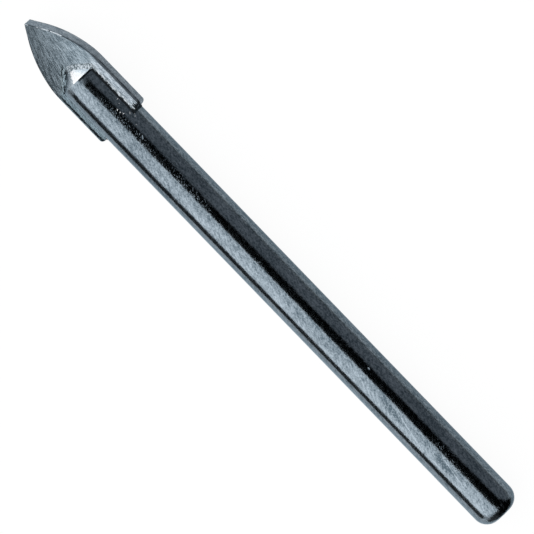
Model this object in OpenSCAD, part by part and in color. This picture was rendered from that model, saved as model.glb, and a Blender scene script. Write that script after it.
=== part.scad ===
// Glass and tile drill bit: a spear-pointed carbide tip brazed into a slot across
// the front of a round steel shank.
// The bit lies along X as it comes to rest on a bench, with its point towards -X.
// The shank and the lower edge of the tip both touch the plane Z = 0.

/* [Shank] */
// Length over all, from the point to the chuck end
overall_length = 90.5; // [60:0.5:140]
// Diameter of the round shank
shank_diameter = 6.35; // [5:0.05:8]
// Rounding of the rim at the chuck end
end_round = 2.1; // [0.3:0.1:2.4]
// Included angle of the cone turned on the front of the shank
nose_angle = 100; // [90:1:130]
// Distance from the point to the edge where that cone begins
nose_setback = 10.4; // [9:0.1:14]
// How far the slotted front is pinched in at that edge, on its radius
pinch = 0.05; // [0.01:0.01:0.15]
// Length behind the slot in which the pinched front comes back to full diameter
pinch_runout = 1.2; // [0.6:0.1:3]

/* [Carbide tip] */
// Width across the sides of the tip
tip_width = 9.5; // [8:0.1:12]
// Thickness of the tip
tip_thickness = 1.4; // [1:0.05:2]
// Length of the tip, from the point to the bottom of the slot
tip_length = 18.4; // [16:0.1:26]
// Included angle of the two ground flanks at the point
point_angle = 76; // [66:1:86]
// Distance from the point to where the ground edge runs out at the side
shoulder_setback = 10.2; // [9.5:0.1:11.5]
// Radius of the ground edge between the straight flank and the side
shoulder_radius = 16; // [12:0.5:22]
// Slope of the flanks behind their cutting edges
relief_angle = 6; // [2:1:10]
// Rounding of the long edges that aren't ground
edge_round = 0.25; // [0.05:0.05:0.45]
// Rounding of the two rear corners, seen on the flat of the tip
corner_round = 0.5; // [0.2:0.1:1]

/* [Braze] */
// Thickness of the braze between the tip and the walls of the slot
film = 0.06; // [0.04:0.01:0.15]
// How far the bead of braze spreads from the shank over the face of the tip
bead_width = 0.45; // [0.15:0.05:0.6]
// How high the bead climbs up the shank
bead_height = 0.28; // [0.1:0.02:0.4]

/* [Hidden] */
$fn = 120;

// Room by which a cutting shape runs past what it cuts
past = 1;
shank_radius = shank_diameter / 2;
half_width = tip_width / 2;
half_thick = tip_thickness / 2;

// Front of the shank
front_radius = shank_radius - pinch;
nose_half_angle = nose_angle / 2;
nose_apex = nose_setback - front_radius / tan(nose_half_angle);
slot_half = half_thick + film;
slot_end = tip_length + film;

// Ground edge of the tip: a straight flank, then an arc tangent to it that crosses the side
flank = point_angle / 2;
along_flank = [cos(flank), sin(flank)];
into_tip = [sin(flank), -cos(flank)];
shoulder = [shoulder_setback, half_width];
shoulder_depth = shoulder * into_tip;
flank_length = shoulder * along_flank
    - sqrt(shoulder_depth * (2 * shoulder_radius - shoulder_depth));
arc_start = flank_length * along_flank;
arc_centre = arc_start + shoulder_radius * into_tip;
arc_top = arc_centre + [0, shoulder_radius];
reach = 2 * shoulder_radius;

// Curves that would only graze a straight edge stand this far over it, so that the two cross
crossing = 0.01;
// The ground edge clears the side of the tip by half of what its arc rises above it
clear_side = (half_width + arc_top.y) / 2;

// Where the bead runs: the shank's outline on the face of the tip
bead_y = sqrt(pow(front_radius, 2) - pow(half_thick, 2));
bead_steps = 4;

// Roll about X at which the tip's lower edge and the shank touch the bench together
edge_up = half_thick - edge_round;
edge_out = half_width - edge_round;
rest_roll = atan2(edge_out, edge_up)
    - acos((shank_radius - edge_round) / norm([edge_up, edge_out]));

// Where the cone's surface crosses the face of the tip, at a distance y from the axis
function nose_at(y) =
    nose_setback - (front_radius - norm([half_thick, y])) / tan(nose_half_angle);

// From the bit's own axes, with the point at the origin, to how it lies at rest
module lying() {
    translate([-overall_length / 2, 0, shank_radius])
        rotate([rest_roll, 0, 0])
            children();
}

// A quarter of a disc, in the corner that the two signs name
module quarter_disc(r, side_x, side_y) {
    intersection() {
        circle(r);
        translate([min(side_x, 0) * r, min(side_y, 0) * r])
            square(r);
    }
}

// A rectangle with four rounded corners, about its centre
module rounded_rectangle(w, h, r) {
    square([w, h - 2 * r], center = true);
    square([w - 2 * r, h], center = true);
    for (side_x = [-1, 1], side_y = [-1, 1])
        translate([side_x * (w / 2 - r), side_y * (h / 2 - r)])
            quarter_disc(r, side_x, side_y);
}

// The shank as it leaves the lathe, before its slot is cut
module turned_blank() {
    rim = [shank_radius - end_round, overall_length - end_round];
    rotate([0, 90, 0])
        rotate_extrude() {
            polygon([
                [0, nose_apex],
                [front_radius, nose_setback],
                [shank_radius, slot_end + pinch_runout],
                [shank_radius, rim.y],
                rim,
                [rim.x, overall_length],
                [0, overall_length],
            ]);
            translate(rim)
                quarter_disc(end_round, 1, 1);
        }
}

// The slot across the front, which the tip and its braze fill
module slot() {
    translate([nose_apex - past, -shank_diameter, -slot_half])
        cube([slot_end - nose_apex + past, 2 * shank_diameter, 2 * slot_half]);
}

module slotted_shank() {
    difference() {
        turned_blank();
        slot();
    }
}

// All that lies inside one ground edge, which leans back from its cutting edge on the lower face
module inside_ground_edge() {
    rotate([0, relief_angle, 0])
        linear_extrude(height = 2 * reach, center = true) {
            polygon([
                -reach * along_flank,
                [tip_length + reach, -reach * along_flank.y],
                [tip_length + reach, clear_side],
                [arc_centre.x, clear_side],
                arc_centre,
                arc_start,
            ]);
            translate(arc_centre)
                circle(shoulder_radius + crossing, $fn = 360);
        }
}

// The pressed bar that the tip is ground from, with its long edges rounded
module pressed_bar() {
    translate([-past, 0, 0])
        rotate([90, 0, 90])
            linear_extrude(height = tip_length + 2 * past)
                rounded_rectangle(tip_width, tip_thickness, edge_round);
}

// The plan of the tip with its two rear corners rounded
module rounded_rear() {
    plan_width = tip_width + 2 * crossing;
    plan_length = 2 * tip_length;
    linear_extrude(height = tip_thickness + 2 * past, center = true)
        rounded_rectangle(plan_length, plan_width, corner_round);
}

module ground_tip() {
    intersection() {
        pressed_bar();
        rounded_rear();
        inside_ground_edge();
        rotate([180, 0, 0])
            inside_ground_edge();
    }
}

// The outline of the braze on the face of the tip, at a distance outside the shank's own outline
module braze_outline(spread) {
    nose = [
        for (i = [-bead_steps:bead_steps])
            let (y = bead_y * i / bead_steps)
            [nose_at(y) - spread, y * (bead_y + spread) / bead_y],
    ];
    rear = [
        for (side = [1, -1])
            [tip_length, side * (bead_y + spread)],
    ];
    polygon(concat(rear, nose));
}

// The bead on one face of the tip, which slopes from the shank down to that face all round
module face_bead() {
    hull() {
        translate([0, 0, half_thick])
            linear_extrude(height = crossing)
                braze_outline(bead_width);
        translate([0, 0, half_thick + 2 * bead_height])
            linear_extrude(height = crossing)
                braze_outline(-bead_width);
    }
}

// The bead across the rear end of the tip, where the slot stops, which runs into the beads on both faces
module rear_bead() {
    translate([tip_length, front_radius, 0])
        cylinder(h = tip_thickness + 2 * bead_height, r = bead_height, center = true);
}

module shank() {
    color([0.53, 0.58, 0.62])
        lying()
            slotted_shank();
}

module carbide_tip() {
    color([0.45, 0.51, 0.55])
        lying()
            ground_tip();
}

module braze() {
    color([0.80, 0.82, 0.82])
        lying()
            difference() {
                union() {
                    intersection() {
                        turned_blank();
                        slot();
                    }
                    for (turn = [0, 180])
                        rotate([turn, 0, 0]) {
                            face_bead();
                            rear_bead();
                        }
                }
                slotted_shank();
                ground_tip();
            }
}

shank();
carbide_tip();
braze();
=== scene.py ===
import math
import random
from collections import namedtuple

import bmesh
import bpy
import numpy as np
from mathutils import Matrix, Vector, noise


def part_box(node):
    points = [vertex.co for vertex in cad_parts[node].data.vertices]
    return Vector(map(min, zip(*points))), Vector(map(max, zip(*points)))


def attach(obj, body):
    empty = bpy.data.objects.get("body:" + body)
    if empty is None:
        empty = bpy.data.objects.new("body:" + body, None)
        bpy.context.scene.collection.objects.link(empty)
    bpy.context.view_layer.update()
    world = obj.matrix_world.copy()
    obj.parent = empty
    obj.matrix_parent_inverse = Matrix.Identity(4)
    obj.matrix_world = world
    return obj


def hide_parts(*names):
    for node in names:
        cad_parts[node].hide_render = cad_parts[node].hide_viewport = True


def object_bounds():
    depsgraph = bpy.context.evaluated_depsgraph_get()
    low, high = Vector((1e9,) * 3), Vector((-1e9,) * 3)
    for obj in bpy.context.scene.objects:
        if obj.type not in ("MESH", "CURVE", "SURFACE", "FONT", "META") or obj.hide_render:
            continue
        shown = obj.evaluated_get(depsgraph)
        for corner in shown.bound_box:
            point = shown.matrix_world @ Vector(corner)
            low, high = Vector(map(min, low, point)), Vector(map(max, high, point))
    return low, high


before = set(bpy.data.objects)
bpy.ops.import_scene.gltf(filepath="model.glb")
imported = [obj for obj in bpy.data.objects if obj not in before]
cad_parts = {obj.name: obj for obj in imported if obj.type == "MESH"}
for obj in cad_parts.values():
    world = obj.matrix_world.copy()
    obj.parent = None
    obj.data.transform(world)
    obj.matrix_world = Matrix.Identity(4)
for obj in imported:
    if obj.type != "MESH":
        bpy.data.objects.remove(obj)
cad_low, cad_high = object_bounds()

# Sizes are in millimetres, in the bit's own axes: the point at the origin, X along the shank
# towards the chuck end, the flat of the tip in the XY plane.
MM = 0.001

# Taken from the frame
shank_low, shank_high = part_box("shank")
SHANK_RADIUS = (shank_high.z - shank_low.z) / 2 / MM
OVERALL_LENGTH = (cad_high.x - cad_low.x) / MM

# Repeated from the part's own driving sizes
END_ROUND = 2.1
NOSE_ANGLE = 100
NOSE_SETBACK = 10.4
PINCH = 0.05
PINCH_RUNOUT = 1.2
TIP_WIDTH = 9.5
TIP_THICKNESS = 1.4
TIP_LENGTH = 18.4
POINT_ANGLE = 76
SHOULDER_SETBACK = 10.2
SHOULDER_RADIUS = 16
RELIEF_ANGLE = 6
EDGE_ROUND = 0.25
CORNER_ROUND = 0.5
FILM = 0.06
BEAD_WIDTH = 0.45

FRONT_RADIUS = SHANK_RADIUS - PINCH
NOSE_SLOPE = math.tan(math.radians(NOSE_ANGLE / 2))
NOSE_APEX = NOSE_SETBACK - FRONT_RADIUS / NOSE_SLOPE
HALF_THICK = TIP_THICKNESS / 2
HALF_WIDTH = TIP_WIDTH / 2
SLOT_HALF = HALF_THICK + FILM
SLOT_END = TIP_LENGTH + FILM

# Roll about X at which the tip's lower edge and the shank touch the bench together
EDGE_UP = HALF_THICK - EDGE_ROUND
EDGE_OUT = HALF_WIDTH - EDGE_ROUND
REST_ROLL = math.atan2(EDGE_OUT, EDGE_UP) - math.acos(
    (SHANK_RADIUS - EDGE_ROUND) / math.hypot(EDGE_UP, EDGE_OUT)
)
LYING = (
    Matrix.Translation(Vector((-OVERALL_LENGTH / 2, 0, SHANK_RADIUS)) * MM)
    @ Matrix.Rotation(REST_ROLL, 4, "X")
)


# Meshes

# Points closer than this are one point
WELD = 0.0001


def mesh_piece(name, points, faces):
    """A piece of the object from points in the bit's own axes, laid as the bit lies."""
    mesh = bpy.data.meshes.new(name)
    mesh.from_pydata([Vector(point) * MM for point in points], [], faces)
    mesh.transform(LYING)
    piece = bpy.data.objects.new(name, mesh)
    bpy.context.scene.collection.objects.link(piece)
    return piece


def tube_faces(count, size):
    """Faces of a closed tube, from that count of points in rings of that size."""
    faces = []
    for start in range(0, count - size, size):
        for k in range(size):
            m = (k + 1) % size
            faces.append((start + k, start + m, start + size + m, start + size + k))
    faces.append(tuple(range(size)))
    faces.append(tuple(range(count - size, count)))
    return faces


def freeze(piece):
    """Applies every modifier to the piece's own mesh."""
    graph = bpy.context.evaluated_depsgraph_get()
    done = bpy.data.meshes.new_from_object(piece.evaluated_get(graph))
    old = piece.data
    piece.modifiers.clear()
    piece.data = done
    bpy.data.meshes.remove(old)


def face_outwards(piece):
    """Welds points that coincide and turns every face outwards."""
    work = bmesh.new()
    work.from_mesh(piece.data)
    bmesh.ops.remove_doubles(work, verts=work.verts, dist=WELD * MM)
    bmesh.ops.recalc_face_normals(work, faces=work.faces)
    work.to_mesh(piece.data)
    work.free()


def shade(piece, crease_degrees):
    """Smooth shading with creases where faces meet at more than the angle."""
    piece.data.shade_smooth()
    piece.data.set_sharp_from_angle(angle=math.radians(crease_degrees))


def dress(piece, slot, *materials):
    """Puts the materials on a piece, which moves with the bit."""
    piece.data.materials.clear()
    for material in materials:
        piece.data.materials.append(material)
    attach(piece, "root")


def ease(value, low, high):
    """From 0 to 1, with a smooth start and stop, as a value comes from one limit to the other."""
    t = min(1, max(0, (value - low) / (high - low)))
    return t * t * (3 - 2 * t)


# Materials

# Where a Mix node keeps its two colours and their mixture, since its sockets share their names
MIX_COLOUR_A = 6
MIX_COLOUR_B = 7
MIX_COLOUR_OUT = 2
# A noise lies about this middle, and most of it lies in this range
NOISE_MIDDLE = 0.5
MOST_NOISE = (0.3, 0.7)
BLACK = (0, 0, 0, 1)
WHITE = (1, 1, 1, 1)
# The tint of a metal's reflections at a glancing angle
GLANCING_TINT = (0.62, 0.71, 0.77, 1)


class Nodes:
    """A metal's node tree, with short calls to add to it."""

    def __init__(self, name, glancing=GLANCING_TINT):
        self.material = bpy.data.materials.new(name)
        self.material.use_nodes = True
        self.tree = self.material.node_tree
        self.shader = self.tree.nodes["Principled BSDF"]
        self.shader.inputs["Metallic"].default_value = 1
        self.shader.inputs["Specular Tint"].default_value = glancing
        in_row = self.add("ShaderNodeTexCoord").outputs["Object"]
        in_bit = self.add("ShaderNodeMapping", vector_type="TEXTURE")
        self.feed(in_row, in_bit.inputs["Vector"])
        in_bit.inputs["Location"].default_value = LYING.translation
        in_bit.inputs["Rotation"].default_value = LYING.to_euler()
        self.place = in_bit.outputs[0]
        apart = self.add("ShaderNodeSeparateXYZ")
        self.feed(self.place, apart.inputs[0])
        self.x, self.y, self.z = apart.outputs

    def add(self, kind, **settings):
        node = self.tree.nodes.new(kind)
        for key, value in settings.items():
            setattr(node, key, value)
        return node

    def feed(self, source, socket):
        if isinstance(source, bpy.types.NodeSocket):
            self.tree.links.new(source, socket)
        else:
            socket.default_value = source

    def math(self, operation, a, b=0.0):
        node = self.add("ShaderNodeMath", operation=operation)
        self.feed(a, node.inputs[0])
        self.feed(b, node.inputs[1])
        return node.outputs[0]

    def both(self, a, b):
        """Where two masks both hold."""
        return self.math("MULTIPLY", a, b)

    def total(self, *weighted):
        """The sum of pairs of a value and its weight."""
        result = self.math("MULTIPLY", *weighted[0])
        for value, weight in weighted[1:]:
            result = self.math("ADD", result, self.math("MULTIPLY", value, weight))
        return result

    def hypot(self, a, b):
        squares = [(self.math("MULTIPLY", value, value), 1.0) for value in (a, b)]
        return self.math("SQRT", self.total(*squares))

    def side(self):
        """Y as it is seen from over the face that a point is on: below zero to the left of the axis."""
        return self.math("MULTIPLY", self.y, self.math("SIGN", self.z))

    def vector(self, x, y, z):
        node = self.add("ShaderNodeCombineXYZ")
        for source, socket in zip((x, y, z), node.inputs):
            self.feed(source, socket)
        return node.outputs[0]

    def stretched(self, source, size_mm, turn_degrees=0, middle_mm=(0, 0, 0)):
        """Coordinates about a middle, turned about Z, in which a feature of that size measures one."""
        node = self.add("ShaderNodeMapping", vector_type="TEXTURE")
        self.feed(source, node.inputs["Vector"])
        node.inputs["Location"].default_value = [place * MM for place in middle_mm]
        node.inputs["Rotation"].default_value = (0, 0, math.radians(turn_degrees))
        node.inputs["Scale"].default_value = [size * MM for size in size_mm]
        return node.outputs[0]

    def noise(self, size_mm, turn_degrees=0, place=None, detail=3.0, roughness=0.55, distortion=0.0):
        """Noise with features of that size, in the bit's own axes unless another place is given."""
        if place is None:
            place = self.place
        node = self.add("ShaderNodeTexNoise")
        self.feed(self.stretched(place, size_mm, turn_degrees), node.inputs["Vector"])
        node.inputs["Scale"].default_value = 1
        node.inputs["Detail"].default_value = detail
        node.inputs["Roughness"].default_value = roughness
        node.inputs["Distortion"].default_value = distortion
        return node.outputs["Fac"]

    def ragged(self, value, cloud, reach):
        """A value that a cloud of noise moves to and fro, by up to half of the reach each way."""
        return self.total((value, 1.0), (self.math("SUBTRACT", cloud, NOISE_MIDDLE), reach))

    def span(self, value, low, high, to_low=0.0, to_high=1.0):
        """A value from one range carried to another, and held at its ends."""
        node = self.add("ShaderNodeMapRange", clamp=True)
        self.feed(value, node.inputs["Value"])
        ends = {"From Min": low, "From Max": high, "To Min": to_low, "To Max": to_high}
        for key, number in ends.items():
            node.inputs[key].default_value = number
        return node.outputs["Result"]

    def span_mm(self, length, low, high):
        return self.span(length, low * MM, high * MM)

    def span_degrees(self, angle, low, high, to_low=0.0, to_high=1.0):
        return self.span(angle, math.radians(low), math.radians(high), to_low, to_high)

    def blend(self, factor, a, b):
        node = self.add("ShaderNodeMix", data_type="RGBA")
        self.feed(factor, node.inputs["Factor"])
        self.feed(a, node.inputs[MIX_COLOUR_A])
        self.feed(b, node.inputs[MIX_COLOUR_B])
        return node.outputs[MIX_COLOUR_OUT]

    def bump(self, height, depth_mm, below=None):
        node = self.add("ShaderNodeBump")
        node.inputs["Strength"].default_value = 1
        node.inputs["Distance"].default_value = depth_mm * MM
        self.feed(height, node.inputs["Height"])
        if below is not None:
            self.feed(below, node.inputs["Normal"])
        return node.outputs["Normal"]

    def finish(self, colour, roughness, normal):
        self.feed(colour, self.shader.inputs["Base Color"])
        self.feed(roughness, self.shader.inputs["Roughness"])
        self.feed(normal, self.shader.inputs["Normal"])
        return self.material


# The shank's finish

# Marks of use: distance from the point, degrees round from the tip's flat, half sizes, turn
Mark = namedtuple("Mark", "along around half_length half_width turn")
SCOOPS = (
    Mark(70.6, 17, 2.9, 0.60, -6),
    Mark(80.2, 17, 2.9, 0.60, -6),
)
SCRATCHES = (
    Mark(73.6, 16.4, 3.8, 0.10, -11),
    Mark(81.8, 21.0, 2.8, 0.10, -10),
    Mark(79.4, 4.0, 1.4, 0.09, 0),
    Mark(41.5, 7.0, 1.6, 0.08, -14),
)
NICKS = (
    Mark(64.3, 15.0, 0.45, 0.17, 55),
    Mark(64.2, 48.6, 0.24, 0.13, 0),
    Mark(21.6, 45.0, 0.40, 0.14, -35),
)
# A mark is at its deepest within this share of its size
MARK_CORE = 0.2

# Sizes of the features, along the shank and both ways across it, and how far the grain slants
SLANT_SIZE = (0.9, 0.26, 0.26)
SLANT_TURN = -30
GRAIN_SIZE = (0.24, 0.17, 0.17)
BROAD_SIZE = (6, 1.5, 1.5)
WAVE_SIZE = (7, 1.6, 1.6)
PIT_SIZE = (0.34, 0.19, 0.19)
PIT_PATCH_SIZE = (9, 4, 4)
SCUFF_SIZE = (0.5, 0.4, 0.4)
# Their depths
SLANT_DEPTH = 0.011
GRAIN_DEPTH = 0.003
WAVE_DEPTH = 0.02
PIT_DEPTH = 0.013
SCUFF_DEPTH = 0.007
SCOOP_DEPTH = 0.03
NICK_DEPTH = 0.06
# Ranges of noise in which they come up
PIT_RANGE = (0.58, 0.70)
PIT_PATCH_RANGE = (0.44, 0.68)
SCUFF_RANGE = (0.45, 0.60)
# What they add to the tone, which runs from the dark colour to the light one in its range
SLANT_TONE = 0.45
GRAIN_TONE = 0.35
BROAD_TONE = 0.2
PALE_TONE = 0.075
SCRATCH_TONE = 0.16
TONE_RANGE = (0.41, 0.67)
STEEL_DARK = (0.050, 0.070, 0.085, 1)
STEEL_LIGHT = (0.238, 0.280, 0.312, 1)
# What a scoop takes from the tone, from the low to the high end of a range of the grain
SCOOP_GRAIN_RANGE = (0.40, 0.60)
SCOOP_TONE = (0.17, 0.07)
# Roughness over a range of the slanting grain, to which a scoop adds its share
ROUGH_RANGE = (0.3, 0.8)
STEEL_ROUGHNESS = (0.09, 0.20)
SCOOP_SHARE = 0.2
# What scorching and scuffing add to it
SCORCH_ROUGHNESS = 0.16
SCUFF_ROUGHNESS = 0.20

# Degrees round from the tip's flat between which the grain deepens from a share to all of its depth
SHALLOW_TO = -4
DEEP_FROM = 6
SHALLOW_SHARE = 0.35
# Degrees between which the finish pales towards the tip's flat
PLAIN_AT = 30
PALE_AT = 5
# It doesn't pale where heat tinted it: the middle of that length, half of it, and how soon it fades
TINTED_AT = 25
TINTED_HALF = 4
TINTED_FADE = 3
# The front edge is burnt dark from this many degrees round, and fades between these distances behind it
BURNT_FROM = 30
BURNT_TO = 0.30
BURNT_FULL = 0.20
BURNT_STEEL = (0.016, 0.020, 0.024, 1)
# The finish behind that edge is scorched dull, and that fades between these distances
SCORCHED_TO = 1.3
SCORCHED_FULL = 0.6
# Distances from the chuck end between which its rim becomes scuffed
RIM_FROM = 2.2
RIM_FULL = 1.3


def shank_steel():
    """Dark satin steel with a mottled grain that slants round the shank, scoops, scratches and nicks."""
    n = Nodes("shank_steel")
    slant = n.noise(SLANT_SIZE, SLANT_TURN, roughness=0.6, distortion=0.4)
    grain = n.noise(GRAIN_SIZE, detail=2)
    broad = n.noise(BROAD_SIZE, detail=2)
    waves = n.noise(WAVE_SIZE, detail=1)
    pitting = n.noise(PIT_SIZE, SLANT_TURN, detail=1)
    patches = n.noise(PIT_PATCH_SIZE, detail=1)
    pits = n.both(n.span(pitting, *PIT_RANGE), n.span(patches, *PIT_PATCH_RANGE))

    angle = n.math("ARCTAN2", n.y, n.z)
    unrolled = n.vector(n.x, n.math("MULTIPLY", angle, SHANK_RADIUS * MM), 0.0)
    depth = n.span_degrees(angle, SHALLOW_TO, DEEP_FROM, SHALLOW_SHARE, 1)
    from_tint = n.math("ABSOLUTE", n.math("SUBTRACT", n.x, TINTED_AT * MM))
    untinted = n.span_mm(from_tint, TINTED_HALF, TINTED_HALF + TINTED_FADE)
    pale = n.both(n.span_degrees(angle, PLAIN_AT, PALE_AT), untinted)
    at_rim = n.span_mm(n.x, OVERALL_LENGTH - RIM_FROM, OVERALL_LENGTH - RIM_FULL)
    scuffs = n.both(at_rim, n.span(n.noise(SCUFF_SIZE, roughness=0.7), *SCUFF_RANGE))

    def marked(marks):
        most = 0.0
        for mark in marks:
            middle = (mark.along, math.radians(mark.around) * SHANK_RADIUS, 0)
            oval = n.stretched(unrolled, (mark.half_length, mark.half_width, 1), mark.turn, middle)
            reach = n.add("ShaderNodeVectorMath", operation="LENGTH")
            n.feed(oval, reach.inputs[0])
            most = n.math("MAXIMUM", most, n.span(reach.outputs["Value"], 1, MARK_CORE))
        return most

    scoops = marked(SCOOPS)
    scratches = marked(SCRATCHES)
    nicks = marked(NICKS)

    mottles = ((slant, SLANT_TONE), (grain, GRAIN_TONE), (broad, BROAD_TONE))
    dulled = n.both(scoops, n.span(grain, *SCOOP_GRAIN_RANGE, *SCOOP_TONE))
    tone = n.total(*mottles, (pale, PALE_TONE), (dulled, -1.0), (scratches, SCRATCH_TONE))
    colour = n.blend(n.span(tone, *TONE_RANGE), STEEL_DARK, STEEL_LIGHT)
    at_edge = n.span_mm(n.x, NOSE_SETBACK + BURNT_TO, NOSE_SETBACK + BURNT_FULL)
    burnt = n.both(at_edge, n.math("GREATER_THAN", angle, math.radians(BURNT_FROM)))
    colour = n.blend(burnt, colour, BURNT_STEEL)

    scorched = n.span_mm(n.x, NOSE_SETBACK + SCORCHED_TO, NOSE_SETBACK + SCORCHED_FULL)
    rough = n.total((slant, 1.0), (scoops, SCOOP_SHARE))
    rough = n.span(rough, *ROUGH_RANGE, *STEEL_ROUGHNESS)
    rough = n.total((rough, 1.0), (scorched, SCORCH_ROUGHNESS), (scuffs, SCUFF_ROUGHNESS))
    normal = n.bump(waves, WAVE_DEPTH)
    normal = n.bump(n.math("MULTIPLY", slant, depth), SLANT_DEPTH, normal)
    normal = n.bump(grain, GRAIN_DEPTH, normal)
    normal = n.bump(n.math("MULTIPLY", pits, depth), PIT_DEPTH, normal)
    normal = n.bump(scoops, -SCOOP_DEPTH, normal)
    normal = n.bump(scuffs, SCUFF_DEPTH, normal)
    normal = n.bump(nicks, -NICK_DEPTH, normal)
    return n.finish(colour, rough, normal)


# The nose's finish

# It is bare metal from this many degrees round from the tip's flat, with a ragged edge in radians
BARE_FROM = 10
BARE_FULL = 12
BARE_RAGGED = 0.5
# What is left of the finish darkens from there round to this angle
DARKEST = -35
NOSE_CLOUD_SIZE = (0.2, 0.3, 0.3)
NOSE_SPECK_SIZE = (0.16, 0.16, 0.16)
NOSE_SPECK_RANGE = (0.40, 0.60)
# Pairs of a dark colour and a light one
NOSE_DULL = ((0.06, 0.08, 0.09, 1), (0.17, 0.20, 0.22, 1))
NOSE_FINISHED = ((0.18, 0.23, 0.26, 1), (0.46, 0.51, 0.55, 1))
NOSE_BARE = ((0.90, 0.90, 0.90, 1), (0.96, 0.96, 0.96, 1))
NOSE_ROUGHNESS = (0.28, 0.40)
NOSE_DEPTH = 0.003


def bare_steel():
    """Turned steel on the nose, bright where the finish is worn off."""
    n = Nodes("bare_steel")
    cloud = n.noise(NOSE_CLOUD_SIZE)
    specks = n.span(n.noise(NOSE_SPECK_SIZE, detail=2), *NOSE_SPECK_RANGE)
    around = n.math("ARCTAN2", n.side(), n.math("ABSOLUTE", n.z))
    bare = n.span_degrees(n.ragged(around, cloud, BARE_RAGGED), BARE_FROM, BARE_FULL)
    dull = n.blend(specks, *NOSE_DULL)
    finished = n.blend(specks, *NOSE_FINISHED)
    finished = n.blend(n.span_degrees(around, DARKEST, BARE_FROM), dull, finished)
    colour = n.blend(bare, finished, n.blend(cloud, *NOSE_BARE))
    rough = n.span(cloud, *MOST_NOISE, *NOSE_ROUGHNESS)
    return n.finish(colour, rough, n.bump(cloud, NOSE_DEPTH))


# The tip's finish

# The scratches of the grinding fan out from this place beside the point
FAN_X = -5.4
FAN_Y = 3.0
FAN_RADIUS = 10
STREAK_SIZE = (1.5, 0.18, 0.25)
CROSS_SIZE = (0.7, 0.22, 0.25)
CROSS_TURN = 22
CARBIDE_GRAIN_SIZE = (0.2, 0.2, 0.2)
CARBIDE_PATCH_SIZE = (1.6, 1.1, 1.1)
STREAK_DEPTH = 0.045
CROSS_DEPTH = 0.020
CARBIDE_GRAIN_DEPTH = 0.010
CARBIDE_ROUGHNESS = (0.28, 0.44)
# What these add to the tone, which runs from a dark colour to a light one in its range
STREAK_TONE = 0.5
CROSS_TONE = 0.2
CARBIDE_GRAIN_TONE = 0.2
CARBIDE_PATCH_TONE = 0.1
CARBIDE_TONE_RANGE = (0.42, 0.58)
# Depths below the face between which its finish gives way to that of the pressed sides
SIDES_FROM = 0.14
FACE_TO = 0.08
PRESSED = ((0.130, 0.160, 0.185, 1), (0.310, 0.355, 0.390, 1))
# The ground face has painted light and shade: it goes from painted shade to painted light between these
# sums of the distance to the right and a share of that along
PAINTED_SHADE_TO = 0.8
PAINTED_LIGHT_FROM = 8.6
ALONG_SHARE = 0.8
PAINTED_SHADE = ((0.030, 0.042, 0.050, 1), (0.140, 0.172, 0.195, 1))
PAINTED_LIGHT = ((0.094, 0.125, 0.147, 1), (0.282, 0.338, 0.376, 1))
# Braze wetted the face from between these distances behind the nose's edge: dull left, clean right
WETTED_FROM = -0.9
WETTED_FULL = 0.2
WETTED_EDGE_SIZE = (0.9, 0.16, 0.3)
WETTED_RAGGED = 2.4
WETTED_DULL = ((0.165, 0.228, 0.263, 1), (0.222, 0.292, 0.330, 1))
WETTED_CLEAN = ((0.150, 0.180, 0.205, 1), (0.400, 0.450, 0.490, 1))
# Flux stains the face on the left: how far ahead of the nose it fades, and how far aside it comes up
STAIN_WIDTH = 1.5
STAIN_FULL = 0.9
STAIN_ASIDE = 0.8
STAIN_SIZE = (1.2, 0.30, 0.35)
STAIN_RANGE = (0.42, 0.52)
STAINED = ((0.006, 0.010, 0.012, 1), (0.220, 0.275, 0.300, 1))
# The stains and the fouled braze lie in ridges, turned from the axis by this many degrees
RIDGE_TURN = -45
# The heel of the ground edge is painted dark, a painted dark reflection on its rounding, with bright
# dashes up to this distance from the point
HEEL_PAINTED_REFLECTION = (0.022, 0.028, 0.034, 1)
BRIGHT_EDGE_END = 4.8
DASH_SIZE = (0.7, 0.7, 0.7)
DASH_RANGE = (0.42, 0.50)
BURNISHED = (0.42, 0.46, 0.49, 1)
# Distances from the rear end between which the right of the face becomes black, a painted shadow at the
# rear end
REAR_SHADOW_FROM = 0.80
REAR_SHADOW_FULL = 0.65
REAR_PAINTED_SHADOW = (0.008, 0.010, 0.012, 1)
# A painted dark reflection where the side is worn round: its distance from the axis, half widths of its
# foot and core
WORN_LINE = 4.28
WORN_FOOT = 0.20
WORN_CORE = 0.12
WORN_RAGGED = 0.7
WORN_EDGE_PAINTED_REFLECTION = (0.012, 0.016, 0.019, 1)


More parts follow.
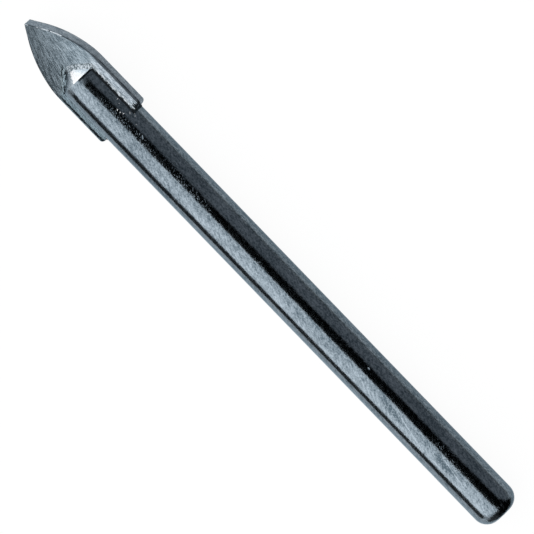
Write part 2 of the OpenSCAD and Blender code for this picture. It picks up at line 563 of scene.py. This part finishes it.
def carbide():
    """Ground carbide: fanning scratches, painted light and shade across the face, worn edges with painted
    dark reflections along them, paler beside the shank where braze wetted it, and a painted shadow at the
    rear end.
    """
    n = Nodes("carbide")
    side = n.side()
    on_right = n.math("GREATER_THAN", side, 0.0)
    on_face = n.span_mm(n.math("ABSOLUTE", n.z), HALF_THICK - SIDES_FROM, HALF_THICK - FACE_TO)

    ahead = n.math("SUBTRACT", n.x, FAN_X * MM)
    aside = n.math("SUBTRACT", side, FAN_Y * MM)
    swing = n.math("MULTIPLY", n.math("ARCTAN2", aside, ahead), FAN_RADIUS * MM)
    fan = n.vector(n.hypot(ahead, aside), swing, n.z)
    streaks = n.noise(STREAK_SIZE, place=fan, roughness=0.65, distortion=0.5)
    cross = n.noise(CROSS_SIZE, CROSS_TURN, detail=2, distortion=0.8)
    grain = n.noise(CARBIDE_GRAIN_SIZE, detail=2)
    patches = n.noise(CARBIDE_PATCH_SIZE)
    scratches = ((streaks, STREAK_TONE), (cross, CROSS_TONE))
    tone = n.total(*scratches, (grain, CARBIDE_GRAIN_TONE), (patches, CARBIDE_PATCH_TONE))
    tone = n.span(tone, *CARBIDE_TONE_RANGE)

    # Painted light and shade on the ground face: darker to the left and towards the point, lighter to the
    # right and towards the shank
    painted_light_share = n.span_mm(n.total((side, 1.0), (n.x, ALONG_SHARE)), PAINTED_SHADE_TO, PAINTED_LIGHT_FROM)
    ground = n.blend(painted_light_share, n.blend(tone, *PAINTED_SHADE), n.blend(tone, *PAINTED_LIGHT))
    ridges = n.noise(STAIN_SIZE, RIDGE_TURN, n.vector(n.x, side, n.z), detail=2, distortion=0.8)
    stained = n.blend(n.span(ridges, *STAIN_RANGE), *STAINED)
    from_axis = n.hypot(side, HALF_THICK * MM)
    nose_x = n.total((from_axis, 1 / NOSE_SLOPE), (NOSE_APEX * MM, 1.0))
    near_nose = n.span_mm(n.math("SUBTRACT", nose_x, n.x), STAIN_WIDTH, STAIN_FULL)
    ground = n.blend(n.both(near_nose, n.span_mm(side, 0, -STAIN_ASIDE)), ground, stained)

    wetted = n.blend(on_right, n.blend(tone, *WETTED_DULL), n.blend(tone, *WETTED_CLEAN))
    behind = n.ragged(n.x, n.noise(WETTED_EDGE_SIZE), WETTED_RAGGED * MM)
    beside_shank = n.span_mm(behind, NOSE_SETBACK + WETTED_FROM, NOSE_SETBACK + WETTED_FULL)
    colour = n.blend(beside_shank, ground, wetted)
    colour = n.blend(on_face, n.blend(tone, *PRESSED), colour)

    heel = n.add("ShaderNodeAttribute", attribute_name="heel").outputs["Fac"]
    burnished = n.both(heel, n.math("LESS_THAN", n.x, BRIGHT_EDGE_END * MM))
    dashes = n.span(n.noise(DASH_SIZE, detail=2), *DASH_RANGE)
    # Painted dark reflection along the heel's rounding
    colour = n.blend(heel, colour, HEEL_PAINTED_REFLECTION)
    colour = n.blend(n.both(burnished, dashes), colour, BURNISHED)
    # Painted shadow: black on the right of the face near the tip's rear end
    rear_shadow = n.span_mm(behind, TIP_LENGTH - REAR_SHADOW_FROM, TIP_LENGTH - REAR_SHADOW_FULL)
    colour = n.blend(n.both(rear_shadow, n.both(on_face, on_right)), colour, REAR_PAINTED_SHADOW)
    outwards = n.ragged(n.math("MULTIPLY", side, -1.0), cross, WORN_RAGGED * MM)
    inner = n.span_mm(outwards, WORN_LINE - WORN_FOOT, WORN_LINE - WORN_CORE)
    outer = n.span_mm(outwards, WORN_LINE + WORN_FOOT, WORN_LINE + WORN_CORE)
    # Painted dark reflection as a line along the worn-round side beside the shank
    colour = n.blend(n.both(n.both(inner, outer), beside_shank), colour, WORN_EDGE_PAINTED_REFLECTION)

    normal = n.bump(streaks, STREAK_DEPTH)
    normal = n.bump(cross, CROSS_DEPTH, normal)
    normal = n.bump(grain, CARBIDE_GRAIN_DEPTH, normal)
    return n.finish(colour, n.span(streaks, *MOST_NOISE, *CARBIDE_ROUGHNESS), normal)


# The braze's finish

LUMP_SIZE = (0.45, 0.45, 0.45)
SPECK_SIZE = (0.22, 0.22, 0.22)
RIDGE_SIZE = (1.0, 0.27, 0.35)
LUMP_DEPTH = 0.03
RIDGE_DEPTH = 0.06
BRAZE_ROUGHNESS = (0.50, 0.38)
# Distances from the axis between which it turns from fouled on the left to speckled on the right
FOULED_TO = -0.6
SPECKLED_FROM = 0.4
FOULED_RANGE = (0.47, 0.55)
FOULED = ((0.003, 0.006, 0.008, 1), (0.40, 0.50, 0.55, 1))
SPECKLED_RANGE = (0.40, 0.60)
SPECKLED = ((0.06, 0.08, 0.09, 1), (0.36, 0.40, 0.43, 1))
# It is clean on the right from this distance behind the nose's edge
CLEAN_FROM = 0.1
CLEAN_RANGE = (0.38, 0.62)
CLEAN = ((0.20, 0.24, 0.26, 1), (0.44, 0.48, 0.51, 1))
# Behind there it is painted black, as painted shade in the seam from between these heights above the
# face, and as a painted shadow near the tip's rear end
SEAM_SHADE_FROM = 0.12
SEAM_SHADE_FULL = 0.18
SEAM_SHADE_EDGE_SIZE = (0.5, 0.2, 0.2)
SEAM_SHADE_RAGGED = 0.3
REAR_SHADOW_LENGTH = 0.15
PAINTED_SHADE_BLACK = (0.010, 0.012, 0.014, 1)


def silver_braze():
    """Uneven braze: clean on one side of the nose and dark with flux on the other, with painted shade in
    the seam up the shank and a painted shadow at the tip's rear end.
    """
    n = Nodes("silver_braze")
    side = n.side()
    lumps = n.noise(LUMP_SIZE)
    ridges = n.noise(RIDGE_SIZE, RIDGE_TURN, n.vector(n.x, side, n.z), detail=2, distortion=0.8)
    fouled = n.blend(n.span(ridges, *FOULED_RANGE), *FOULED)
    speckled = n.blend(n.span(n.noise(SPECK_SIZE), *SPECKLED_RANGE), *SPECKLED)
    colour = n.blend(n.span_mm(side, FOULED_TO, SPECKLED_FROM), fouled, speckled)
    beside_shank = n.math("GREATER_THAN", n.x, (NOSE_SETBACK + CLEAN_FROM) * MM)
    on_right = n.math("GREATER_THAN", side, 0.0)
    clean = n.blend(n.span(lumps, *CLEAN_RANGE), *CLEAN)
    colour = n.blend(n.both(beside_shank, on_right), colour, clean)
    # Painted shade in the seam up the shank, and painted shadow at the tip's rear end
    height = n.ragged(n.math("ABSOLUTE", n.z), n.noise(SEAM_SHADE_EDGE_SIZE), SEAM_SHADE_RAGGED * MM)
    climbing = n.span_mm(height, HALF_THICK + SEAM_SHADE_FROM, HALF_THICK + SEAM_SHADE_FULL)
    at_rear = n.math("GREATER_THAN", n.x, (TIP_LENGTH - REAR_SHADOW_LENGTH) * MM)
    colour = n.blend(n.both(beside_shank, n.math("MAXIMUM", climbing, at_rear)), colour, PAINTED_SHADE_BLACK)
    normal = n.bump(ridges, RIDGE_DEPTH, n.bump(lumps, LUMP_DEPTH))
    return n.finish(colour, n.span(lumps, *MOST_NOISE, *BRAZE_ROUGHNESS), normal)


# The finish of the small drops
DROP_CLOUD_SIZE = (0.1, 0.1, 0.1)
DROP_COLOURS = ((0.66, 0.68, 0.68, 1), (0.86, 0.87, 0.86, 1))
DROP_ROUGHNESS = (0.2, 0.35)
DROP_DEPTH = 0.004


def bright_braze():
    """Clean silver braze, as on the small drops that spattered on the shank."""
    n = Nodes("bright_braze", WHITE)
    cloud = n.noise(DROP_CLOUD_SIZE)
    rough = n.span(cloud, *MOST_NOISE, *DROP_ROUGHNESS)
    return n.finish(n.blend(cloud, *DROP_COLOURS), rough, n.bump(cloud, DROP_DEPTH))


# The shank

# How many points there are in a ring, and how many rings in each stretch
SEGMENTS = 160
NOSE_RINGS = 16
FRONT_RINGS = 60
RINGS_PER_MM = 3
RIM_RINGS = 14
# Degrees at which its faces meet in a crease
SHANK_CREASE = 25
# The nose's edge is rolled in by this much on its radius, over this length
ROLL_DROP = 0.045
ROLL_LENGTH = 1.1
# A face is on the nose if its middle is this far ahead of the edge
NOSE_MARGIN = 0.02


def shank_profile():
    """Distance along the axis and radius, from the nose's apex to the middle of the chuck end."""
    rim_x = OVERALL_LENGTH - END_ROUND
    rim_r = SHANK_RADIUS - END_ROUND
    runout = SLOT_END + PINCH_RUNOUT

    def front_radius(x):
        widened = PINCH * (x - NOSE_SETBACK) / (runout - NOSE_SETBACK)
        rolled = max(0, 1 - (x - NOSE_SETBACK) / ROLL_LENGTH)
        return FRONT_RADIUS + widened - ROLL_DROP * rolled**2

    edge_x = NOSE_APEX + (FRONT_RADIUS - ROLL_DROP) / NOSE_SLOPE
    rod_rings = int((rim_x - runout) * RINGS_PER_MM)
    turns = np.linspace(0, math.pi / 2, RIM_RINGS)[1:]
    nose = [(x, (x - NOSE_APEX) * NOSE_SLOPE) for x in np.linspace(NOSE_APEX, edge_x, NOSE_RINGS)]
    front = [(x, front_radius(x)) for x in np.linspace(NOSE_SETBACK, runout, FRONT_RINGS)]
    rod = [(x, SHANK_RADIUS) for x in np.linspace(runout, rim_x, rod_rings)[1:]]
    rim = [(rim_x + END_ROUND * math.sin(a), rim_r + END_ROUND * math.cos(a)) for a in turns]
    return nose + front + rod + rim + [(OVERALL_LENGTH, 0)]


def lathe(profile):
    """Points and faces of a profile turned about X, with one point at each end."""
    angles = np.linspace(0, 2 * math.pi, SEGMENTS, endpoint=False)
    points = [(profile[0][0], 0, 0)]
    for x, r in profile[1:-1]:
        points += [(x, r * math.cos(a), r * math.sin(a)) for a in angles]
    points.append((profile[-1][0], 0, 0))
    last = len(points) - 1
    last_ring = last - SEGMENTS
    faces = []
    for i in range(SEGMENTS):
        j = (i + 1) % SEGMENTS
        faces.append((0, 1 + j, 1 + i))
        faces.append((last_ring + i, last_ring + j, last))
        for start in range(1, last_ring, SEGMENTS):
            faces.append((start + i, start + j, start + SEGMENTS + j, start + SEGMENTS + i))
    return points, faces


def make_shank():
    shank = mesh_piece("drill_shank", *lathe(shank_profile()))
    span = 2 * SHANK_RADIUS
    corners = [
        (x, y, z)
        for x in (NOSE_APEX - span, SLOT_END)
        for y in (-span, span)
        for z in (-SLOT_HALF, SLOT_HALF)
    ]
    sides = [(0, 1, 3, 2), (4, 6, 7, 5), (0, 4, 5, 1), (2, 3, 7, 6), (0, 2, 6, 4), (1, 5, 7, 3)]
    cutter = mesh_piece("slot_cutter", corners, sides)
    cut = shank.modifiers.new("slot", "BOOLEAN")
    cut.operation = "DIFFERENCE"
    cut.solver = "EXACT"
    cut.object = cutter
    freeze(shank)
    bpy.data.objects.remove(cutter)
    dress(shank, "shank_steel", shank_steel(), bare_steel())
    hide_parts("shank")
    nose_end = (LYING @ Vector((NOSE_SETBACK * MM, 0, 0))).x - NOSE_MARGIN * MM
    for polygon in shank.data.polygons:
        polygon.material_index = 1 if polygon.center.x < nose_end else 0
    shade(shank, SHANK_CREASE)


# The tip

# Roundings of the heel where it is ground and where it is pressed, of the cutting edge and of the rear
HEEL_ROUND = 0.09
PRESSED_HEEL_ROUND = 0.25
CUTTING_ROUND = 0.03
REAR_ROUND = 0.45
# A rounding takes no more than this share of the width
ROUND_SHARE = 0.3
# Distances from the shoulder between which the ground edge gives way to the pressed bar
PRESSED_FROM = -1.6
PRESSED_FULL = 0.2
# The ground face falls by the crown towards its sides, the pressed one where its side is worn
CROWN = 0.06
WORN_WIDTH = 0.75
WORN_DROP = 0.03
# The wear is uneven along the side
WEAR_SWING = 0.5
WEAR_PER_MM = 1.3
WEAR_SEED = 5
# How many points lie across the face, up a side and round an edge
FACE_POINTS = 44
SIDE_POINTS = 4
ROUND_POINTS = 7
# Where the rings of points begin, where those of the point end, and how far those of the flank run on
FIRST_RING = 0.01
POINT_END = 1
PAST_SHOULDER = 0.6
# How many rings there are in each stretch
POINT_STEPS = 16
FLANK_STEPS = 84
SIDE_STEPS = 60
CORNER_STEPS = 12
TIP_CREASE = 40


def ground_outline(x):
    """Half width of the ground edge at a distance from the point: a straight flank, then an arc."""
    flank = math.radians(POINT_ANGLE / 2)
    depth = SHOULDER_SETBACK * math.sin(flank) - HALF_WIDTH * math.cos(flank)
    along = SHOULDER_SETBACK * math.cos(flank) + HALF_WIDTH * math.sin(flank)
    length = along - math.sqrt(depth * (2 * SHOULDER_RADIUS - depth))
    centre_x = length * math.cos(flank) + SHOULDER_RADIUS * math.sin(flank)
    centre_y = length * math.sin(flank) - SHOULDER_RADIUS * math.cos(flank)
    if x < length * math.cos(flank):
        return x * math.tan(flank)
    return centre_y + math.sqrt(SHOULDER_RADIUS**2 - min(0, x - centre_x) ** 2)


def rounded_off(size, radius, x, end):
    """A size that a rounding of that radius brings in as x comes to the end."""
    into = max(0, x - (end - radius))
    return size - radius + math.sqrt(max(0, radius**2 - into**2))


def upper_half(x):
    """Points over the upper half of the tip at x, from heel to cutting side, each with a heel weight."""
    lean = math.radians(RELIEF_ANGLE)
    widest = rounded_off(HALF_WIDTH, CORNER_ROUND, x, TIP_LENGTH)
    top = rounded_off(HALF_THICK, REAR_ROUND, x, TIP_LENGTH)

    def heel_side(z):
        return min(widest, ground_outline(x * math.cos(lean) - z * math.sin(lean)))

    def cutting_side(z):
        return -min(widest, ground_outline(x * math.cos(lean) + z * math.sin(lean)))

    pressed = ease(x, SHOULDER_SETBACK + PRESSED_FROM, SHOULDER_SETBACK + PRESSED_FULL)
    room = ROUND_SHARE * (heel_side(top) - cutting_side(top))
    heel_r = min(room, HEEL_ROUND + (PRESSED_HEEL_ROUND - HEEL_ROUND) * pressed, top)
    cut_r = min(room, CUTTING_ROUND + (EDGE_ROUND - CUTTING_ROUND) * pressed, top)
    turns = np.linspace(0, math.pi / 2, ROUND_POINTS)

    loop = [(heel_side(z), z, 0) for z in np.linspace(0, top - heel_r, SIDE_POINTS)[:-1]]
    for a in turns:
        z = top - heel_r * (1 - math.sin(a))
        loop.append((heel_side(z) - heel_r * (1 - math.cos(a)), z, math.sin(a)))
    start = heel_side(top) - heel_r
    stop = cutting_side(top) + cut_r
    loop += [(y, top, 0) for y in np.linspace(start, stop, FACE_POINTS)[1:-1]]
    for a in turns[::-1]:
        z = top - cut_r * (1 - math.sin(a))
        loop.append((cutting_side(z) + cut_r * (1 - math.cos(a)), z, 0))
    loop += [(cutting_side(z), z, 0) for z in np.linspace(top - cut_r, 0, SIDE_POINTS)[1:-1]]

    wear = WORN_DROP * pressed * (1 + WEAR_SWING * noise.noise(Vector((x * WEAR_PER_MM, 0, WEAR_SEED))))
    shaped = []
    for y, z, heel in loop:
        worn = max(0, (-y - (HALF_WIDTH - WORN_WIDTH)) / WORN_WIDTH)
        drop = CROWN * (1 - pressed) * (y / HALF_WIDTH) ** 2 + wear * worn**2
        shaped.append((y, z - drop * z / HALF_THICK, heel))
    return shaped


def make_tip():
    flank_end = SHOULDER_SETBACK + PAST_SHOULDER
    corner = TIP_LENGTH - CORNER_ROUND
    corner_turns = np.linspace(0, math.pi / 2, CORNER_STEPS)
    stations = np.concatenate([
        np.linspace(FIRST_RING, POINT_END, POINT_STEPS),
        np.linspace(POINT_END, flank_end, FLANK_STEPS)[1:],
        np.linspace(flank_end, corner, SIDE_STEPS)[1:],
        TIP_LENGTH - CORNER_ROUND * (1 - np.sin(corner_turns))[1:],
    ])
    points, heels = [], []
    for x in stations:
        half = upper_half(x)
        for turn in (1, -1):
            points += [(x, turn * y, turn * z) for y, z, heel in half]
            heels += [heel for y, z, heel in half]
    tip = mesh_piece("drill_tip", points, tube_faces(len(points), len(points) // len(stations)))
    heel = tip.data.attributes.new("heel", "FLOAT", "POINT")
    heel.data.foreach_set("value", heels)
    face_outwards(tip)
    dress(tip, "carbide", carbide())
    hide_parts("carbide_tip")
    shade(tip, TIP_CREASE)


# The braze that shows

# How many rings there are along a bead, points in a ring, and steps in each stretch of its path
BEAD_POINTS = 260
BEAD_SIDES = 14
BEAD_SIDE_STEPS = 60
BEAD_NOSE_STEPS = 101
BEAD_CREASE = 60
# Beside the shank it shrinks to this share, between these distances behind the nose's edge
SIDE_BEAD = 0.3
SIDE_BEAD_FROM = -0.5
SIDE_BEAD_FULL = 0.3
# On the left of the nose it spreads this many times wider, between these distances from the axis
FOULED_BEAD = 1.7
FOULED_BEAD_FROM = 0.2
FOULED_BEAD_FULL = 1.0
# Its height as a share of its reach to the side
BEAD_FLATNESS = 0.5
# The size of its lumps, and the radius round the bead at which their noise is taken
BEAD_LUMP = 0.5
BEAD_ROUND = 0.2
# Shares of its width: the mean, the swing of the lumps and of smaller ones, and the least that is left
LUMP_MEAN = 0.6
LUMP_SWING = 0.5
SMALL_SWING = 0.25
LEAST_LUMP = 0.12
# How many times smaller the smaller lumps are
SMALLER = 2.7
UPPER_SEED = 3.0
LOWER_SEED = 11.0


def bead_path():
    """The shank's outline on the face of the tip, from the rear of one side to that of the other."""
    side_y = math.sqrt(FRONT_RADIUS**2 - HALF_THICK**2)
    path = [(x, side_y) for x in np.linspace(TIP_LENGTH, NOSE_SETBACK, BEAD_SIDE_STEPS)]
    for y in np.linspace(side_y, -side_y, BEAD_NOSE_STEPS)[1:]:
        path.append((NOSE_SETBACK - (FRONT_RADIUS - math.hypot(HALF_THICK, y)) / NOSE_SLOPE, y))
    path += [(x, -side_y) for x in np.linspace(NOSE_SETBACK, TIP_LENGTH, BEAD_SIDE_STEPS)[1:]]
    steps = np.concatenate([[0], np.cumsum(np.linalg.norm(np.diff(path, axis=0), axis=1))])
    even = np.linspace(0, steps[-1], BEAD_POINTS)
    return np.column_stack([np.interp(even, steps, column) for column in np.array(path).T])


def make_bead(name, turn, seed, material):
    """A lumpy bead along the path on one face of the tip: turn is 1 on the upper one, -1 on the lower."""
    path = bead_path()
    points = []
    for i, (x, y) in enumerate(path):
        ahead = path[min(i + 1, len(path) - 1)] - path[max(i - 1, 0)]
        ahead /= np.linalg.norm(ahead)
        beside_shank = ease(x, NOSE_SETBACK + SIDE_BEAD_FROM, NOSE_SETBACK + SIDE_BEAD_FULL)
        size = BEAD_WIDTH * (1 + (SIDE_BEAD - 1) * beside_shank)
        spread = 1 + (FOULED_BEAD - 1) * ease(-y, FOULED_BEAD_FROM, FOULED_BEAD_FULL)
        for k in range(BEAD_SIDES):
            a = 2 * math.pi * k / BEAD_SIDES
            spot = Vector((x + BEAD_ROUND * math.cos(a), y, BEAD_ROUND * math.sin(a) + seed)) / BEAD_LUMP
            small = SMALL_SWING * noise.noise(spot * SMALLER)
            lump = LUMP_MEAN + LUMP_SWING * noise.noise(spot) + small
            reach = size * max(lump, LEAST_LUMP)
            across = math.cos(a) * reach * spread
            up = math.sin(a) * reach * BEAD_FLATNESS
            out_y = y + ahead[0] * across
            points.append((x - ahead[1] * across, turn * out_y, turn * (HALF_THICK + up)))
    bead = mesh_piece(name, points, tube_faces(len(points), BEAD_SIDES))
    face_outwards(bead)
    dress(bead, "silver_braze", material)
    shade(bead, BEAD_CREASE)


SPATTER_SEED = 5
SPATTER_COUNT = 34
# The drops spread about a place ahead of the tip's rear end, between these degrees round from its flat
SPATTER_AHEAD = 1.1
SPATTER_SPREAD = 1.3
SPATTER_ARC = (48, 74)
DROP_RADIUS = (0.05, 0.12)
DROP_SQUASH = (1.3, 0.9, 0.55, 1)
DROP_CREASE = 80


def make_spatter():
    """Small drops of braze on the shank beside the rear end of the tip, on both of its faces."""
    chance = random.Random(SPATTER_SEED)
    work = bmesh.new()
    for i in range(SPATTER_COUNT):
        x = chance.gauss(TIP_LENGTH - SPATTER_AHEAD, SPATTER_SPREAD)
        around = math.radians(chance.uniform(*SPATTER_ARC)) + math.pi * (i % 2)
        radius = chance.uniform(*DROP_RADIUS) * MM
        out = Vector((0, math.sin(around), math.cos(around)))
        place = Matrix.Translation((Vector((x, 0, 0)) + out * FRONT_RADIUS) * MM)
        turn = out.to_track_quat("Z", "X").to_matrix().to_4x4()
        drop = place @ turn @ Matrix.Diagonal(DROP_SQUASH)
        bmesh.ops.create_icosphere(work, subdivisions=2, radius=radius, matrix=drop)
    spatter = mesh_piece("braze_spatter", [], [])
    work.to_mesh(spatter.data)
    work.free()
    spatter.data.transform(LYING)
    dress(spatter, "silver_braze", bright_braze())
    shade(spatter, DROP_CREASE)


def make_braze():
    finish = silver_braze()
    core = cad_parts["braze"]
    core.data.materials.clear()
    core.data.materials.append(finish)
    make_bead("braze_bead_upper", 1, UPPER_SEED, finish)
    make_bead("braze_bead_lower", -1, LOWER_SEED, finish)
    make_spatter()


make_shank()
make_tip()
make_braze()


# The floor, which is white to the camera and pale in the metal, and keeps a soft shadow

FLOOR_HALF = 3.0
FLOOR_COLOUR = (0.9, 0.9, 0.9, 1)
CAMERA_WHITE = 0.95
MIRROR_WHITE = 0.35


def make_floor():
    mesh = bpy.data.meshes.new("floor")
    corners = [(x, y, 0) for x, y in ((-1, -1), (1, -1), (1, 1), (-1, 1))]
    mesh.from_pydata([Vector(corner) * FLOOR_HALF for corner in corners], [], [(0, 1, 2, 3)])
    floor = bpy.data.objects.new("floor", mesh)
    bpy.context.scene.collection.objects.link(floor)
    material = bpy.data.materials.new("floor_white")
    material.use_nodes = True
    tree = material.node_tree
    tree.nodes.clear()

    def add(kind, operation=None):
        node = tree.nodes.new(kind)
        if operation:
            node.operation = operation
        return node

    out = add("ShaderNodeOutputMaterial")
    matte = add("ShaderNodeBsdfDiffuse")
    matte.inputs["Color"].default_value = FLOOR_COLOUR
    glow = add("ShaderNodeEmission")
    path = add("ShaderNodeLightPath")
    mirrored = add("ShaderNodeMath", "MAXIMUM")
    tree.links.new(path.outputs["Is Glossy Ray"], mirrored.inputs[0])
    tree.links.new(path.outputs["Is Transmission Ray"], mirrored.inputs[1])
    in_metal = add("ShaderNodeMath", "MULTIPLY")
    tree.links.new(mirrored.outputs[0], in_metal.inputs[0])
    in_metal.inputs[1].default_value = MIRROR_WHITE
    share = add("ShaderNodeMath", "MULTIPLY_ADD")
    tree.links.new(path.outputs["Is Camera Ray"], share.inputs[0])
    share.inputs[1].default_value = CAMERA_WHITE
    tree.links.new(in_metal.outputs[0], share.inputs[2])
    mix = add("ShaderNodeMixShader")
    tree.links.new(share.outputs[0], mix.inputs[0])
    tree.links.new(matte.outputs[0], mix.inputs[1])
    tree.links.new(glow.outputs[0], mix.inputs[2])
    tree.links.new(mix.outputs[0], out.inputs["Surface"])
    mesh.materials.append(material)


# The studio light

# Places are in metres, and angles in degrees from straight up towards +Y.
# A large softbox on the -Y side, between two angles
KEY_RADIANCE = 1.8
KEY_FROM = 4
KEY_TO = -80
KEY_DISTANCE = 0.5
KEY_LENGTH = 1.6
# A low softbox ahead of the point
END_RADIANCE = 3.0
END_PLACE = (-0.5, 0, 0.12)
END_SIZE = (0.25, 0.5)
# A dim room
ROOM_GREY = 0.36
ROOM_TINT = (0.97, 1, 1.08, 1)
# A black card overhead, which runs from one angle to another at each place along X
Overhead = namedtuple("Overhead", "x near far")
OVERHEAD_HEIGHT = 0.4
OVERHEAD = (
    Overhead(-0.1, -16.5, 19.7),
    Overhead(-0.01, -7.8, 31.3),
    Overhead(0.1, -3.1, 42.4),
    Overhead(1.33, -3.1, 75),
)
# Two low cards on the -Y side: one beside the tip, and one that slants away along the shank
LOW_GREY = 0.06
LOW_AWAY = 0.020
LOW_TOP = 0.0086
LOW_AHEAD = -0.2
LOW_BEND = -0.034
LOW_BEND_AWAY = 0.015
LOW_BEND_TOP = 0.0058
LOW_BEHIND = 0.055
LOW_BEHIND_AWAY = 0.030
LOW_BEHIND_TOP = 0.0127
# A low card on the +Y side, as bright as the room
RIGHT_AWAY = 0.028
RIGHT_TOP = 0.005
RIGHT_HALF = 0.2
# Two small cards behind the chuck end, which meet near its middle
REAR_AWAY = 0.003
REAR_FOOT = 0.0012
REAR_LEFT = -0.0065
REAR_LEFT_TOP = 0.006
REAR_LEFT_GREY = 0.10
REAR_MIDDLE = -0.001
REAR_MIDDLE_TOP = 0.0086
REAR_RIGHT = 0.007
REAR_RIGHT_TOP = 0.0088
REAR_RIGHT_GREY = 0.005


def softbox(name, place, aim, width, length, radiance):
    lamp = bpy.data.lights.new(name, "AREA")
    lamp.shape = "RECTANGLE"
    lamp.size = length
    lamp.size_y = width
    lamp.energy = radiance * math.pi * width * length
    light = bpy.data.objects.new(name, lamp)
    bpy.context.scene.collection.objects.link(light)
    back = (place - aim).normalized()
    side = Vector((1, 0, 0)) if abs(back.x) < abs(back.z) else Vector((0, 1, 0))
    side = (side - back * side.dot(back)).normalized()
    turn = Matrix((side, back.cross(side), back)).transposed().to_4x4()
    light.matrix_world = Matrix.Translation(place) @ turn
    light.visible_camera = False


def card(name, corners, radiance):
    """A card of even brightness that only reflections see."""
    mesh = bpy.data.meshes.new(name)
    mesh.from_pydata(corners, [], [tuple(range(len(corners)))])
    piece = bpy.data.objects.new(name, mesh)
    bpy.context.scene.collection.objects.link(piece)
    material = bpy.data.materials.new(name)
    material.use_nodes = True
    shader = material.node_tree.nodes["Principled BSDF"]
    shader.inputs["Base Color"].default_value = BLACK
    shader.inputs["Specular IOR Level"].default_value = 0
    shader.inputs["Emission Color"].default_value = WHITE
    shader.inputs["Emission Strength"].default_value = radiance
    mesh.materials.append(material)
    piece.visible_camera = False
    piece.visible_diffuse = False
    piece.visible_shadow = False


def upright(start, end, start_top, end_top, foot=0):
    """Corners of an upright card over two places on the floor, from its foot to its top at each."""
    return [(*start, foot), (*end, foot), (*end, end_top), (*start, start_top)]


def make_cards():
    def overhead(x, angle):
        return (x, OVERHEAD_HEIGHT * math.tan(math.radians(angle)), OVERHEAD_HEIGHT)

    near = [overhead(place.x, place.near) for place in OVERHEAD]
    far = [overhead(place.x, place.far) for place in OVERHEAD]
    card("card_overhead", near + far[::-1], 0.0)

    ahead = (LOW_AHEAD, -LOW_AWAY)
    bend = (LOW_BEND, -LOW_AWAY)
    card("card_low_tip", upright(ahead, bend, LOW_TOP, LOW_TOP), LOW_GREY)
    bend = (LOW_BEND, -LOW_BEND_AWAY)
    behind = (LOW_BEHIND, -LOW_BEHIND_AWAY)
    card("card_low_shank", upright(bend, behind, LOW_BEND_TOP, LOW_BEHIND_TOP), LOW_GREY)

    ahead = (-RIGHT_HALF, RIGHT_AWAY)
    behind = (RIGHT_HALF, RIGHT_AWAY)
    card("card_right", upright(ahead, behind, RIGHT_TOP, RIGHT_TOP), ROOM_GREY)

    left, middle, right = ((cad_high.x + REAR_AWAY, y) for y in (REAR_LEFT, REAR_MIDDLE, REAR_RIGHT))
    rear_left = upright(left, middle, REAR_LEFT_TOP, REAR_MIDDLE_TOP, REAR_FOOT)
    rear_right = upright(middle, right, REAR_MIDDLE_TOP, REAR_RIGHT_TOP, REAR_FOOT)
    card("card_rear_left", rear_left, REAR_LEFT_GREY)
    card("card_rear_right", rear_right, REAR_RIGHT_GREY)


def make_room():
    world = bpy.data.worlds.new("room")
    bpy.context.scene.world = world
    world.use_nodes = True
    tree = world.node_tree
    back = tree.nodes["Background"]
    back.inputs["Color"].default_value = ROOM_TINT
    path = tree.nodes.new("ShaderNodeLightPath")
    level = tree.nodes.new("ShaderNodeMapRange")
    level.inputs["To Min"].default_value = ROOM_GREY
    level.inputs["To Max"].default_value = 1
    tree.links.new(path.outputs["Is Camera Ray"], level.inputs["Value"])
    tree.links.new(level.outputs["Result"], back.inputs["Strength"])


def make_light():
    aim = Vector((0, 0, SHANK_RADIUS * MM))
    middle = math.radians((KEY_FROM + KEY_TO) / 2)
    towards = Vector((0, math.sin(middle), math.cos(middle)))
    width = 2 * KEY_DISTANCE * math.tan(math.radians(KEY_FROM - KEY_TO) / 2)
    softbox("key", aim + towards * KEY_DISTANCE, aim, width, KEY_LENGTH, KEY_RADIANCE)
    softbox("end", Vector(END_PLACE), aim, *END_SIZE, END_RADIANCE)
    make_cards()
    make_room()


# The camera looks down, a little from the +Y side, and the bit runs from top left to bottom right

VIEW_TILT = math.radians(4.4)
PHOTO_TURN = math.radians(45.948)
PHOTO_PIXELS = 534
# Millimetres to a pixel, and where the middle of the bit lies from the middle of the picture
PIXEL = 0.132
BIT_RIGHT_PX = -1.65
BIT_DOWN_PX = 1.0
CAMERA_DISTANCE = 0.8
CLIP_START = 0.01
SENSOR = 36


def make_camera():
    across = Vector((0, math.cos(VIEW_TILT), -math.sin(VIEW_TILT)))
    along = Vector((1, 0, 0))
    right = along * math.cos(PHOTO_TURN) + across * math.sin(PHOTO_TURN)
    up = across * math.cos(PHOTO_TURN) - along * math.sin(PHOTO_TURN)
    back = right.cross(up)
    bit_middle = Vector((0, 0, SHANK_RADIUS))
    centre = (bit_middle - right * BIT_RIGHT_PX * PIXEL + up * BIT_DOWN_PX * PIXEL) * MM
    data = bpy.data.cameras.new("camera")
    data.sensor_width = SENSOR
    data.lens = SENSOR * CAMERA_DISTANCE / (PHOTO_PIXELS * PIXEL * MM)
    data.clip_start = CLIP_START
    camera = bpy.data.objects.new("camera", data)
    bpy.context.scene.collection.objects.link(camera)
    turn = Matrix((right, up, back)).transposed().to_4x4()
    camera.matrix_world = Matrix.Translation(centre + back * CAMERA_DISTANCE) @ turn
    bpy.context.scene.camera = camera


make_floor()
make_light()
make_camera()
bpy.context.scene.view_settings.view_transform = "Standard"
